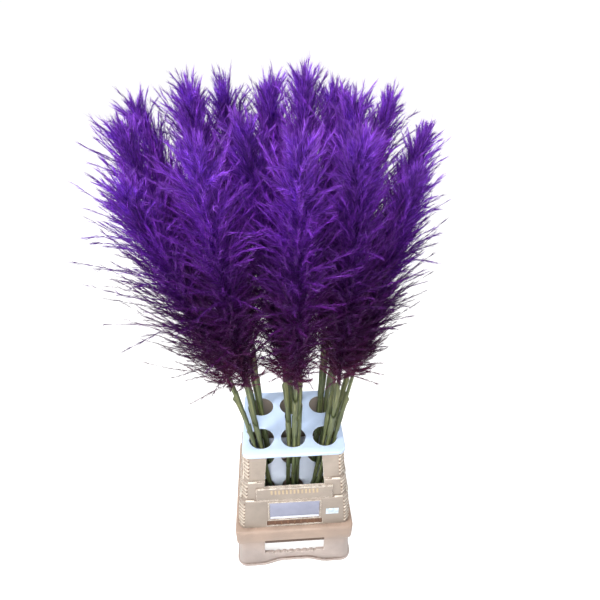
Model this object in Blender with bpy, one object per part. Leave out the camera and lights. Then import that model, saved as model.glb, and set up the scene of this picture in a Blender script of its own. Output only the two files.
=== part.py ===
"""Dyed pampas grass plumes standing in a six-hole flower container.

The container is a footed base with a shallow tub, a tapered hood with windows that stands on the
base's rim, and two plates with six round holes, one inside above the tub and one on top. Each
plume is a green stem with a purple head: a core with tapered tufts that grow out of it all round.
A tuft is shorter where it would reach into the next plume's space.
Units are metres, +Z is up and +Y points away from the front. Everything is laid out about the
container's middle and then moved, so that the origin lies on the floor under the whole plant's middle.
"""

import math
import random

import bmesh
import bpy
import numpy as np
from mathutils import Matrix, Vector

# Cutters run right through by this much, or past a face by the smaller overcut
THROUGH = 0.30
OVERCUT = 0.010

# Plates and their holes
PLATE_HALF = (0.150, 0.1225)
PLATE_TOP = 0.500
PLATE_THICK = 0.0037
PLATE_LIP_DROP = 0.012
PLATE_LIP_WALL = 0.0030
PLATE_CORNER = 0.032
PLATE_EDGE = 0.003
HOLE_PITCH = (0.094, 0.123)
HOLE_RADIUS = 0.0368
HOLE_SIDES = 24
LOWER_PLATE_HALF = (0.157, 0.137)
LOWER_PLATE_FLOOR = 0.2430
LOWER_PLATE_THICK = 0.006

# Hood tiers, bottom to top: height range, and half width and half depth at each end
HOOD_TIERS = (
    (0.1900, 0.3150, (0.175, 0.160), (0.166, 0.148)),
    (0.3150, 0.3880, (0.160, 0.142), (0.155, 0.135)),
    (0.3880, 0.4960, (0.151, 0.128), (0.1455, 0.118)),
)
HOOD_WALL = 0.005
HOOD_CORNER = 0.028
TIER_OVERLAP = 0.002
WINDOW_BOTTOM = 0.368
WINDOW_TOP = 0.487
WINDOW_HALF_FRONT = (0.090, 0.080)
WINDOW_HALF_SIDE = (0.070, 0.062)
SLOT_HALF = 0.088
SLOT_RANGE = (0.1945, 0.2195)
SLOT_DEPTH = 0.0036
LABEL_HALF = 0.078
LABEL_RANGE = (0.227, 0.305)
LABEL_DEPTH = 0.0020
LABEL_THICK = 0.0012
LABEL_PLAY = 0.001
STICKER_SIZE = (0.040, 0.026)
STICKER_THICK = 0.0006
STICKER_CENTRE = (0.118, 0.252)
SIDE_RIB_STEP = 0.026
SIDE_RIB_PROUD = 0.0035
SIDE_RIB_TALL = 0.008
COMB_RIBS = 13
COMB_PITCH = 0.0115
COMB_RIB = (0.0045, 0.0025, 0.024)
COMB_HEIGHT = 0.346

# Base: feet, rail, rim and tub
FOOT_HALF = (0.186, 0.182)
BASE_TOP_HALF = (0.178, 0.166)
BASE_WALL = 0.010
BASE_CORNER = 0.030
RIM_RANGE = (0.1230, 0.1897)
RIM_HALF = (0.187, 0.176)
RIM_CORNER = 0.020
RIM_EDGE = 0.004
GAP_HALF = 0.098
GAP_RANGE = (0.056, 0.109)
ARCH_RISE = 0.022
ARCH_HALF = (0.088, 0.060)
NOTCH_COUNT = 7
NOTCH_PITCH = 0.022
NOTCH_SIZE = (0.009, 0.004)
TUB_HALF = (0.157, 0.137)
TUB_TOP = 0.2427
TUB_FLOOR = (0.1180, 0.1240)
TUB_WALL = 0.004

# Plants. Clearance is the gap kept between pieces that touch. A stem is straight up to the top plate
# and bows outwards over it, by a power of the height. The core's radius swells and thins again over
# its height, as shares of both.
CLEARANCE = 0.0003
STEM_TAPER = 0.75
STEM_BENDS = (PLATE_TOP, 0.575, 0.670)
BOW_POWER = 1.5
HEAD_FOOT = 0.775
CORE_RADIUS = 0.036
CORE_SWELL = ((0.0, 0.0), (0.08, 0.45), (0.25, 0.85), (0.45, 1.0), (0.68, 0.80), (0.88, 0.42), (1.0, 0.08))
TUFTS_PER_HEAD = 39
TUFT_SPAN = (0.03, 0.91)
TUFT_SPREAD = (math.radians(52), math.radians(18))
TUFT_LENGTH = 0.170
TUFT_GIRTH = 0.023
SHORTEST_TUFT = 0.050
CELL_MARGIN = 0.0012
GOLDEN_ANGLE = math.radians(137.508)
SEED = 7

# Each hole: column, row, and how far its bundle leans over each metre of height
HOLES = {
    "front_left": (-1, -1, (-0.110, -0.040)),
    "front_centre": (0, -1, (0.010, -0.045)),
    "front_right": (1, -1, (0.100, -0.042)),
    "rear_left": (-1, 1, (-0.090, 0.035)),
    "rear_centre": (0, 1, (-0.025, 0.032)),
    "rear_right": (1, 1, (0.045, 0.038)),
}

# Each plume: hole, place in its bundle, tip of the head, and the stem's radius at its foot
PLUMES = (
    ("left_outer", "front_left", (-0.0136, 0.0017), (-0.320, -0.070, 1.385), 0.0054),
    ("left_low", "front_left", (-0.0076, -0.0145), (-0.285, -0.220, 1.325), 0.0054),
    ("left_front", "front_left", (0.0102, -0.0102), (-0.150, -0.300, 1.410), 0.0065),
    ("left_inner", "front_left", (0.0034, 0.0136), (-0.195, -0.020, 1.450), 0.0068),
    ("centre_left", "front_centre", (-0.0152, 0.0010), (-0.090, -0.200, 1.425), 0.0070),
    ("centre_front", "front_centre", (0.0010, -0.0090), (-0.010, -0.340, 1.430), 0.0070),
    ("centre_right", "front_centre", (0.0140, 0.0040), (0.015, -0.050, 1.475), 0.0068),
    ("right_front", "front_right", (-0.0045, -0.0110), (0.080, -0.270, 1.420), 0.0070),
    ("right_low", "front_right", (0.0150, -0.0060), (0.210, -0.170, 1.335), 0.0062),
    ("right_outer", "front_right", (0.0058, 0.0085), (0.270, 0.000, 1.370), 0.0065),
    ("right_inner", "front_right", (-0.0145, 0.0040), (0.095, -0.120, 1.445), 0.0068),
    ("rear_left_outer", "rear_left", (-0.0119, -0.0051), (-0.340, 0.120, 1.395), 0.0068),
    ("rear_left", "rear_left", (0.0000, 0.0127), (-0.245, 0.270, 1.385), 0.0068),
    ("rear_left_inner", "rear_left", (0.0102, -0.0059), (-0.135, 0.050, 1.440), 0.0068),
    ("rear_centre_left", "rear_centre", (-0.0051, -0.0085), (-0.045, 0.060, 1.445), 0.0057),
    ("rear_centre", "rear_centre", (0.0051, 0.0093), (-0.055, 0.280, 1.400), 0.0068),
    ("rear_right_inner", "rear_right", (-0.0102, -0.0051), (0.085, 0.065, 1.435), 0.0070),
    ("rear_right", "rear_right", (0.0000, 0.0127), (0.150, 0.280, 1.385), 0.0070),
    ("rear_right_outer", "rear_right", (0.0112, -0.0051), (0.225, 0.140, 1.405), 0.0070),
)

BEIGE = (0.64, 0.54, 0.45)
PALE_BLUE = (0.66, 0.76, 0.86)
CARD_GREY = (0.55, 0.56, 0.66)
STEM_GREEN = (0.20, 0.25, 0.13)
DYE_PURPLE = (0.10, 0.012, 0.20)


def clear_scene():
    for obj in list(bpy.data.objects):
        bpy.data.objects.remove(obj, do_unlink=True)


def collection(name, helper=False):
    made = bpy.data.collections.new(name)
    made.hide_render = helper
    bpy.context.scene.collection.children.link(made)
    return made


def material(name, colour, roughness, metallic=0.0):
    made = bpy.data.materials.new(name)
    made.use_nodes = True
    shader = made.node_tree.nodes["Principled BSDF"]
    shader.inputs["Base Color"].default_value = (*colour, 1.0)
    shader.inputs["Roughness"].default_value = roughness
    shader.inputs["Metallic"].default_value = metallic
    made.diffuse_color = (*colour, 1.0)
    return made


def mesh_object(name, shape, home, finish=None):
    """An object from a bmesh, in a collection. With no finish it is a cutter or a guide."""
    mesh = bpy.data.meshes.new(name)
    shape.to_mesh(mesh)
    shape.free()
    obj = bpy.data.objects.new(name, mesh)
    home.objects.link(obj)
    if finish is None:
        obj.hide_render = True
        obj.display_type = "WIRE"
    else:
        mesh.materials.append(finish)
    return obj


def tapered_shape(low, high, bottom, top, corner=0.0, steps=3):
    """An upright box from low to high, with half sizes bottom and top, and rounded upright edges."""
    shape = bmesh.new()
    bmesh.ops.create_cube(shape, size=2.0)
    for vert in shape.verts:
        half = top if vert.co.z > 0 else bottom
        height = high if vert.co.z > 0 else low
        vert.co = Vector((vert.co.x * half[0], vert.co.y * half[1], height))
    if corner > 0:
        upright = [e for e in shape.edges if abs(e.verts[0].co.z - e.verts[1].co.z) > (high - low) / 2]
        bmesh.ops.bevel(
            shape, geom=upright, offset=corner, offset_type="WIDTH",
            segments=steps, profile=0.5, affect="EDGES",
        )
    return shape


def box_shape(size, centre, tilt=0.0):
    """A box of full sizes about its centre, leant back by tilt about the X axis."""
    shape = bmesh.new()
    bmesh.ops.create_cube(shape, size=1.0)
    place = Matrix.Translation(centre) @ Matrix.Rotation(tilt, 4, "X") @ Matrix.Diagonal((*size, 1.0))
    bmesh.ops.transform(shape, matrix=place, verts=shape.verts)
    return shape


def window_shape(low, high, bottom_half, top_half, across):
    """A prism right through the object: across is X for one seen from the front, Y from a side."""
    if across == "X":
        return tapered_shape(low, high, (bottom_half, THROUGH), (top_half, THROUGH))
    return tapered_shape(low, high, (THROUGH, bottom_half), (THROUGH, top_half))


def boolean(obj, other, operation):
    modifier = obj.modifiers.new(other.name, "BOOLEAN")
    modifier.operation = operation
    modifier.object = other
    modifier.solver = "EXACT"


def join(obj, other):
    boolean(obj, other, "UNION")


def cut(obj, other):
    boolean(obj, other, "DIFFERENCE")


def hole_centres():
    return [(column * HOLE_PITCH[0], row * HOLE_PITCH[1] / 2) for row in (-1, 1) for column in (-1, 0, 1)]


def hole_cutters(name, low, high, helpers):
    shape = bmesh.new()
    for x, y in hole_centres():
        place = Matrix.Translation((x, y, (low + high) / 2))
        bmesh.ops.create_cone(
            shape, cap_ends=True, segments=HOLE_SIDES, radius1=HOLE_RADIUS, radius2=HOLE_RADIUS,
            depth=high - low, matrix=place,
        )
    return mesh_object(name, shape, helpers)


def make_top_plate(parts, helpers, finish):
    """A flat plate with a turned-down lip that caps the hood."""
    shape = tapered_shape(PLATE_TOP - PLATE_LIP_DROP, PLATE_TOP, PLATE_HALF, PLATE_HALF, PLATE_CORNER, 5)
    rim = [e for e in shape.edges if all(v.co.z > PLATE_TOP - 1e-4 for v in e.verts)]
    bmesh.ops.bevel(shape, geom=rim, offset=PLATE_EDGE, segments=2, profile=0.5, affect="EDGES")
    plate = mesh_object("top_plate", shape, parts, finish)
    inner = tuple(half - PLATE_LIP_WALL for half in PLATE_HALF)
    under = tapered_shape(
        PLATE_TOP - PLATE_LIP_DROP - OVERCUT, PLATE_TOP - PLATE_THICK, inner, inner,
        PLATE_CORNER - PLATE_LIP_WALL, 5,
    )
    cut(plate, mesh_object("plate_underside", under, helpers))
    cut(plate, hole_cutters("plate_holes", PLATE_TOP - PLATE_LIP_DROP, PLATE_TOP + OVERCUT, helpers))


def make_lower_plate(parts, helpers, finish):
    top = LOWER_PLATE_FLOOR + LOWER_PLATE_THICK
    shape = tapered_shape(LOWER_PLATE_FLOOR, top, LOWER_PLATE_HALF, LOWER_PLATE_HALF, PLATE_CORNER, 3)
    plate = mesh_object("lower_plate", shape, parts, finish)
    cut(plate, hole_cutters("lower_plate_holes", LOWER_PLATE_FLOOR - OVERCUT, top + OVERCUT, helpers))


def front_lean():
    """The lean of the hood's lowest front wall, as an angle about X."""
    low, high, bottom, top = HOOD_TIERS[0]
    return math.atan2(bottom[1] - top[1], high - low)


def front_wall_y(height):
    low, high, bottom, top = HOOD_TIERS[0]
    share = (height - low) / (high - low)
    return -(bottom[1] + (top[1] - bottom[1]) * share)


def on_front_wall(x, height, proud):
    """A point over the lowest front wall, proud of it by that much."""
    lean = front_lean()
    return Vector((x, front_wall_y(height) - proud * math.cos(lean), height + proud * math.sin(lean)))


def hood_half(height):
    """The hood's outer half width and half depth at a height."""
    for low, high, bottom, top in HOOD_TIERS:
        if height <= high:
            share = (height - low) / (high - low)
            return tuple(b + (t - b) * share for b, t in zip(bottom, top))
    return HOOD_TIERS[-1][3]


def make_hood(parts, helpers, finish):
    """Three tapered tiers, ribbed at the sides, open at the front and side windows and hollow through."""
    hood = None
    for index, (low, high, bottom, top) in enumerate(HOOD_TIERS):
        overlap = 0.0 if index == 0 else TIER_OVERLAP
        shape = tapered_shape(low - overlap, high, bottom, top, HOOD_CORNER)
        if hood is None:
            hood = mesh_object("hood", shape, parts, finish)
        else:
            join(hood, mesh_object(f"hood_tier_{index}", shape, helpers))
    first, last = HOOD_TIERS[0][0] + SIDE_RIB_STEP / 2, HOOD_TIERS[-1][1] - SIDE_RIB_STEP
    ribs = bmesh.new()
    for count in range(int((last - first) / SIDE_RIB_STEP) + 1):
        height = first + count * SIDE_RIB_STEP
        half = hood_half(height)
        size = (2 * (half[0] + SIDE_RIB_PROUD), 2 * (half[1] - HOOD_CORNER), SIDE_RIB_TALL)
        place = Matrix.Translation((0, 0, height)) @ Matrix.Diagonal((*size, 1.0))
        bmesh.ops.create_cube(ribs, size=1.0, matrix=place)
    join(hood, mesh_object("side_ribs", ribs, helpers))
    comb = bmesh.new()
    half_depth = hood_half(COMB_HEIGHT)[1]
    for count in range(COMB_RIBS):
        x = (count - (COMB_RIBS - 1) / 2) * COMB_PITCH
        size = (COMB_RIB[0], 2 * (half_depth + COMB_RIB[1]), COMB_RIB[2])
        place = Matrix.Translation((x, 0, COMB_HEIGHT)) @ Matrix.Diagonal((*size, 1.0))
        bmesh.ops.create_cube(comb, size=1.0, matrix=place)
    join(hood, mesh_object("comb_ribs", comb, helpers))
    for index, (low, high, bottom, top) in enumerate(HOOD_TIERS):
        inner_bottom = tuple(half - HOOD_WALL for half in bottom)
        inner_top = tuple(half - HOOD_WALL for half in top)
        low_end = low - OVERCUT if index == 0 else low - HOOD_WALL
        high_end = high + OVERCUT if index == len(HOOD_TIERS) - 1 else high - HOOD_WALL
        shape = tapered_shape(low_end, high_end, inner_bottom, inner_top, HOOD_CORNER - HOOD_WALL)
        cut(hood, mesh_object(f"hood_hollow_{index}", shape, helpers))
    front = window_shape(WINDOW_BOTTOM, WINDOW_TOP, *WINDOW_HALF_FRONT, "X")
    bmesh.ops.translate(front, vec=(0, -THROUGH, 0), verts=front.verts)
    cut(hood, mesh_object("front_window", front, helpers))
    side = window_shape(WINDOW_BOTTOM, WINDOW_TOP, *WINDOW_HALF_SIDE, "Y")
    cut(hood, mesh_object("side_windows", side, helpers))
    recess(hood, "front_slot", SLOT_HALF, SLOT_RANGE, SLOT_DEPTH, helpers)
    recess(hood, "label_pocket", LABEL_HALF, LABEL_RANGE, LABEL_DEPTH, helpers)


def recess(hood, name, half, heights, depth, helpers):
    """Sinks a shallow rectangle into the lowest front wall, that deep and square to it."""
    tall = heights[1] - heights[0]
    middle = (heights[0] + heights[1]) / 2
    shape = box_shape((2 * half, 2 * depth, tall), on_front_wall(0, middle, 0), -front_lean())
    cut(hood, mesh_object(name, shape, helpers))


def make_label(parts, finish):
    """A bare card in the hood's pocket."""
    tall = LABEL_RANGE[1] - LABEL_RANGE[0] - 2 * LABEL_PLAY
    middle = (LABEL_RANGE[0] + LABEL_RANGE[1]) / 2
    back = -LABEL_DEPTH + CLEARANCE
    centre = on_front_wall(0, middle, back + LABEL_THICK / 2)
    shape = box_shape((2 * (LABEL_HALF - LABEL_PLAY), LABEL_THICK, tall), centre, -front_lean())
    mesh_object("label_card", shape, parts, finish)


def make_sticker(parts, finish):
    x, height = STICKER_CENTRE
    centre = on_front_wall(x, height, CLEARANCE + STICKER_THICK / 2)
    shape = box_shape((STICKER_SIZE[0], STICKER_THICK, STICKER_SIZE[1]), centre, -front_lean())
    mesh_object("sticker", shape, parts, finish)


def notch_shape(across):
    """The row of small square notches in the rail's top edge, right through the base."""
    notches = bmesh.new()
    for count in range(NOTCH_COUNT):
        along = (count - (NOTCH_COUNT - 1) / 2) * NOTCH_PITCH
        centre = (along, 0, GAP_RANGE[0]) if across == "X" else (0, along, GAP_RANGE[0])
        wide, tall = NOTCH_SIZE[0], 2 * NOTCH_SIZE[1]
        size = (wide, 2 * THROUGH, tall) if across == "X" else (2 * THROUGH, wide, tall)
        place = Matrix.Translation(centre) @ Matrix.Diagonal((*size, 1.0))
        bmesh.ops.create_cube(notches, size=1.0, matrix=place)
    return notches


def make_base(parts, helpers, finish):
    """Four feet tied by a low rail, a broad rim, and a shallow tub with a floor."""
    shape = tapered_shape(0.0, RIM_RANGE[0] + RIM_EDGE, FOOT_HALF, BASE_TOP_HALF, BASE_CORNER)
    base = mesh_object("base", shape, parts, finish)
    rim = tapered_shape(*RIM_RANGE, RIM_HALF, RIM_HALF, RIM_CORNER)
    edges = [e for e in rim.edges if abs(e.verts[0].co.z - e.verts[1].co.z) < 1e-5]
    bmesh.ops.bevel(rim, geom=edges, offset=RIM_EDGE, segments=1, affect="EDGES")
    join(base, mesh_object("base_rim", rim, helpers))
    tub = tapered_shape(TUB_FLOOR[0], TUB_TOP, TUB_HALF, TUB_HALF, HOOD_CORNER)
    join(base, mesh_object("base_tub", tub, helpers))
    under_bottom = tuple(half - BASE_WALL for half in FOOT_HALF)
    under_top = tuple(half - BASE_WALL for half in BASE_TOP_HALF)
    under = tapered_shape(-OVERCUT, TUB_FLOOR[0], under_bottom, under_top, BASE_CORNER - BASE_WALL)
    cut(base, mesh_object("under_space", under, helpers))
    inside = tuple(half - TUB_WALL for half in TUB_HALF)
    hollow = tapered_shape(TUB_FLOOR[1], TUB_TOP + OVERCUT, inside, inside, HOOD_CORNER - TUB_WALL)
    cut(base, mesh_object("tub_inside", hollow, helpers))
    for across in ("X", "Y"):
        gap = window_shape(*GAP_RANGE, GAP_HALF, GAP_HALF, across)
        cut(base, mesh_object(f"foot_gaps_{across}", gap, helpers))
        arch = window_shape(-OVERCUT, ARCH_RISE, *ARCH_HALF, across)
        cut(base, mesh_object(f"foot_arches_{across}", arch, helpers))
        cut(base, mesh_object(f"rail_notches_{across}", notch_shape(across), helpers))


def plume_line(plume, samples=60):
    """The centre line of a stem and its head, from the tub's floor to the tip. The slanted stem's
    lower end just clears the floor at its lowest point."""
    _, hole, seat, tip, radius = plume
    column, row, lean = HOLES[hole]
    lean = np.array(lean)
    slant = math.atan(np.linalg.norm(lean))
    foot = TUB_FLOOR[1] + CLEARANCE + radius * math.sin(slant)
    between_plates = (PLATE_TOP + LOWER_PLATE_FLOOR) / 2
    bundle = np.array([column * HOLE_PITCH[0], row * HOLE_PITCH[1] / 2])
    at_plate = bundle + np.array(seat) + lean * (PLATE_TOP - between_plates)
    rise = tip[2] - PLATE_TOP
    bow = (np.array(tip[:2]) - at_plate) / rise - lean
    heights = np.linspace(foot, tip[2], samples)
    above = heights - PLATE_TOP
    share = np.clip(above / rise, 0, None)
    across = at_plate + np.outer(above, lean) + np.outer(rise * share ** BOW_POWER, bow)
    return np.column_stack([across, heights])


def distances(points, line):
    """The distance of each point from a polyline."""
    a, b = line[:-1], line[1:]
    along = b - a
    share = np.einsum("pij,ij->pi", points[:, None] - a, along) / np.einsum("ij,ij->i", along, along)
    nearest = a + np.clip(share, 0, 1)[..., None] * along
    return np.linalg.norm(points[:, None] - nearest, axis=2).min(axis=1)


def room(points, own, others):
    """How far each point is from the border between its own plume's space and the next one's."""
    mine = distances(points, own)
    return np.min([(distances(points, line) - mine) / 2 for line in others], axis=0)


def point_at(line, height):
    """The point of a centre line at a height, and its direction there."""
    point, ahead, behind = [
        np.array([np.interp(level, line[:, 2], line[:, axis]) for axis in range(3)])
        for level in (height, height + 0.01, height - 0.01)
    ]
    direction = ahead - behind
    return point, direction / np.linalg.norm(direction)


def tube_object(name, points, radii, home, finish, sides_level):
    """A tapered tube along points, as a curve with filled caps."""
    curve = bpy.data.curves.new(name, "CURVE")
    curve.dimensions = "3D"
    curve.bevel_depth = 1.0
    curve.bevel_resolution = sides_level
    curve.use_fill_caps = True
    spline = curve.splines.new("POLY")
    spline.points.add(len(points) - 1)
    for slot, point, radius in zip(spline.points, points, radii):
        slot.co = (*point, 1.0)
        slot.radius = radius
    curve.materials.append(finish)
    obj = bpy.data.objects.new(name, curve)
    home.objects.link(obj)
    return obj


def make_stem(plume, line, parts, finish):
    """The bare stem, up to just under its head. Returns its radius at the top."""
    name, radius = plume[0], plume[4]
    foot = line[0][2]
    heights = (foot, *STEM_BENDS, HEAD_FOOT)
    points = [point_at(line, height)[0] for height in heights]
    shares = [(height - foot) / (HEAD_FOOT - foot) for height in heights]
    radii = [radius * (1 - (1 - STEM_TAPER) * share) for share in shares]
    tube_object(f"stem_{name}", points, radii, parts, finish, 2)
    return radii[-1]


def tuft_length(share):
    """Tufts are longest nearly half way up the head, and short at its foot and its tip."""
    return TUFT_LENGTH * (0.30 + 0.70 * math.sin(math.pi * (0.10 + 0.90 * share)) ** 0.9)


def tuft_shape(root, heading, length, girth):
    """A three-sided tuft that tapers from its root on the centre line to a point."""
    shape = bmesh.new()
    turn = heading.to_track_quat("Z", "Y").to_matrix().to_4x4()
    place = Matrix.Translation(root + heading * length / 2) @ turn
    bmesh.ops.create_cone(
        shape, cap_ends=True, segments=3, radius1=girth, radius2=0.0, depth=length, matrix=place,
    )
    return shape


def fitted_length(root, heading, length, girth, line, others):
    """The longest tuft, up to length, that stays inside its own plume's space."""
    shares = np.linspace(0.1, 1.0, 9)
    thick = girth * (1 - shares)
    while length > SHORTEST_TUFT:
        points = root + np.outer(shares * length, heading)
        if (room(points, line, others) > thick + CELL_MARGIN).all():
            return length
        length *= 0.94
    return 0.0


def make_core(plume, line, others, stem_radius, parts, finish):
    """The core of a head, from the stem's top to the tip, as a closed mesh."""
    name, tip = plume[0], plume[3]
    foot = HEAD_FOOT + 2 * CLEARANCE
    points, radii = [], []
    for share, fullness in CORE_SWELL:
        point, _ = point_at(line, foot + share * (tip[2] - foot))
        free = float(room(point[None], line, others)[0]) - CELL_MARGIN
        points.append(point)
        radii.append(stem_radius if share == 0 else min(CORE_RADIUS * fullness, 0.8 * free))
    guide = tube_object(f"core_{name}", points, radii, parts, finish, 1)
    bpy.context.view_layer.update()
    mesh = bpy.data.meshes.new_from_object(guide.evaluated_get(bpy.context.evaluated_depsgraph_get()))
    bpy.data.objects.remove(guide)
    solid = bmesh.new()
    solid.from_mesh(mesh)
    bpy.data.meshes.remove(mesh)
    bmesh.ops.remove_doubles(solid, verts=solid.verts, dist=1e-6)
    bmesh.ops.recalc_face_normals(solid, faces=solid.faces)
    return mesh_object(f"head_{name}", solid, parts, finish)


def make_head(plume, line, others, stem_radius, parts, helpers, finish, rng):
    """The purple head: a core with tufts at golden-angle turns, joined into one solid."""
    name, tip = plume[0], plume[3]
    head = make_core(plume, line, others, stem_radius, parts, finish)
    tufts = bpy.data.collections.new(f"tufts_{name}")
    helpers.children.link(tufts)
    for count in range(TUFTS_PER_HEAD):
        share = (count + 0.5) / TUFTS_PER_HEAD
        rise = TUFT_SPAN[0] + (TUFT_SPAN[1] - TUFT_SPAN[0]) * share
        height = HEAD_FOOT + rise * (tip[2] - HEAD_FOOT)
        point, direction = point_at(line, height)
        axis = Vector(direction)
        turn = count * GOLDEN_ANGLE + rng.uniform(-0.2, 0.2)
        spread = TUFT_SPREAD[0] + (TUFT_SPREAD[1] - TUFT_SPREAD[0]) * share
        spread += math.radians(rng.uniform(-5, 5))
        side = axis.orthogonal().normalized()
        side.rotate(Matrix.Rotation(turn, 3, axis))
        heading = (axis * math.cos(spread) + side * math.sin(spread)).normalized()
        wanted = tuft_length(share) * rng.uniform(0.85, 1.12)
        girth = TUFT_GIRTH * rng.uniform(0.85, 1.15) * (1.0 - 0.40 * share)
        length = fitted_length(point, np.array(heading), wanted, girth, line, others)
        if length > 0:
            mesh_object(f"tuft_{name}_{count}", tuft_shape(Vector(point), heading, length, girth), tufts)
    union = head.modifiers.new("tufts", "BOOLEAN")
    union.operation = "UNION"
    union.operand_type = "COLLECTION"
    union.collection = tufts
    union.solver = "MANIFOLD"
    bpy.context.view_layer.update()
    joined = bpy.data.meshes.new_from_object(head.evaluated_get(bpy.context.evaluated_depsgraph_get()))
    head.modifiers.clear()
    head.data = joined
    for tuft in list(tufts.objects):
        bpy.data.objects.remove(tuft)
    bpy.data.collections.remove(tufts)


def centre_on_floor(parts, helpers):
    """Puts every piece under one empty, placed so that the origin is under the plant's middle."""
    heads = [obj for obj in parts.objects if obj.name.startswith("head_")]
    points = np.array([vert.co for head in heads for vert in head.data.vertices])
    middle = (points.min(axis=0) + points.max(axis=0)) / 2
    root = bpy.data.objects.new("pampas_grass_root", None)
    for obj in [*parts.objects, *helpers.objects]:
        obj.parent = root
    parts.objects.link(root)
    root.location = (-middle[0], -middle[1], 0.0)


def main():
    clear_scene()
    parts = collection("pampas_grass")
    helpers = collection("cutters", helper=True)
    beige = material("beige plastic", BEIGE, 0.55)
    pale = material("pale blue plastic", PALE_BLUE, 0.40)
    card = material("label card", CARD_GREY, 0.60)
    green = material("green stem", STEM_GREEN, 0.55)
    purple = material("purple plume", DYE_PURPLE, 0.85)
    make_base(parts, helpers, beige)
    make_hood(parts, helpers, beige)
    make_lower_plate(parts, helpers, pale)
    make_top_plate(parts, helpers, pale)
    make_label(parts, card)
    make_sticker(parts, pale)
    rng = random.Random(SEED)
    lines = [plume_line(plume) for plume in PLUMES]
    for index, plume in enumerate(PLUMES):
        others = lines[:index] + lines[index + 1:]
        stem_radius = make_stem(plume, lines[index], parts, green)
        make_head(plume, lines[index], others, stem_radius, parts, helpers, purple, rng)
    centre_on_floor(parts, helpers)


main()
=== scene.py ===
"""Purple pampas grass plumes in a six-hole flower container, dressed for its portrait.

The container is put together from the floor up: the footed base, the lower plate, the hood, its
label card and sticker, the top plate, then the green stems and the feathery heads.
Units are metres, +Z is up and the front faces -Y.
"""

import math
import random

import bpy
import numpy as np
from mathutils import Matrix, Vector


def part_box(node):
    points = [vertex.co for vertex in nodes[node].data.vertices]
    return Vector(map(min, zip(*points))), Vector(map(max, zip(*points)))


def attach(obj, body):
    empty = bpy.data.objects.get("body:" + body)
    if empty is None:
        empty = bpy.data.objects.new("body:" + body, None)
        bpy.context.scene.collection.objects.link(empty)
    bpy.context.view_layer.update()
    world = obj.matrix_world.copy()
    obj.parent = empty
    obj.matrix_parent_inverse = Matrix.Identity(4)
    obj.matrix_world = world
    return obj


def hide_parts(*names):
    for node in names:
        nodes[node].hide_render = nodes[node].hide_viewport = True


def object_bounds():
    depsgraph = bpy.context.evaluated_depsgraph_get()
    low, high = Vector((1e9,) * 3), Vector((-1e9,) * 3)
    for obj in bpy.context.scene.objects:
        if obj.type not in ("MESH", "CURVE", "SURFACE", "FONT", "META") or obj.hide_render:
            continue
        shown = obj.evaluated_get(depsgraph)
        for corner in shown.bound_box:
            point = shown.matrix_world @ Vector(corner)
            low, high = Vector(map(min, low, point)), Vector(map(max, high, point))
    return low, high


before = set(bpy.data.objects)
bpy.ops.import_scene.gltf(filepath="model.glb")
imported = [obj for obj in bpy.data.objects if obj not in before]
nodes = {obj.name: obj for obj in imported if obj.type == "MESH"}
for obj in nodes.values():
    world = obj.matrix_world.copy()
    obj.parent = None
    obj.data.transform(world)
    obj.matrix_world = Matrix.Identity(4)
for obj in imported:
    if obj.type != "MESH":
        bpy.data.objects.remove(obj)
cad_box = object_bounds()

# The studio: a pale seamless floor, a key light from the upper left, a narrow light on the container,
# a weak broad one in front, and a camera held high before the plumes and looking down at them. The
# container stands a little off the whole plant's middle.

plate_low, plate_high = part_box("top_plate")
CENTRE = Vector(((plate_low[0] + plate_high[0]) / 2, (plate_low[1] + plate_high[1]) / 2, 0.0))
EYE = CENTRE + Vector((-0.0516, -0.8984, 1.5586))
LOOK_DOWN = math.radians(34.08)
LOOK_ASIDE = math.radians(-4.45)
CAMERA_ROLL = math.radians(0.9)
LENS = 25.98
FLOOR_SIZE = 14.0
FLOOR_GREY = (0.5, 0.5, 0.5, 1.0)
FLOOR_GLOW = 0.72
ROOM_GLOW = 0.72
BACKDROP_GLOW = 1.02
WHITE = (1.0, 1.0, 1.0, 1.0)

# Each light: name, place, what it aims at, size, power, tint, and the width of its beam in degrees
LIGHTS = (
    ("key_light", (-2.1, -1.15, 2.9), (0.0, 0.0, 1.1), 1.0, 124.0, (1.0, 0.985, 0.97), 180),
    ("front_light", (-0.05, -1.25, 1.85), (0.02, -0.05, 0.35), 0.3, 0.95, (1.0, 0.99, 0.98), 30),
    ("fill_light", (0.2, -2.6, 1.3), (0.0, 0.0, 0.4), 2.0, 12.0, (0.96, 0.98, 1.0), 180),
)


def paint(red, green, blue):
    """A colour from the 0 to 255 scale of a colour card, as the shader wants it."""
    shares = [value / 255 for value in (red, green, blue)]
    return (*[s / 12.92 if s <= 0.04045 else ((s + 0.055) / 1.055) ** 2.4 for s in shares], 1.0)


def place_node(tree, kind, inputs=None, **settings):
    """Adds a shader node. Each input gets a value, or a link from another node's output."""
    made = tree.nodes.new(kind)
    for name, value in settings.items():
        setattr(made, name, value)
    for name, value in (inputs or {}).items():
        if isinstance(value, bpy.types.NodeSocket):
            tree.links.new(value, made.inputs[name])
        else:
            made.inputs[name].default_value = value
    return made


def new_finish(name, roughness):
    """A new material, as its node tree and its Principled shader."""
    made = bpy.data.materials.new(name)
    made.use_nodes = True
    shader = made.node_tree.nodes["Principled BSDF"]
    shader.inputs["Roughness"].default_value = roughness
    return made, made.node_tree, shader


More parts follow.
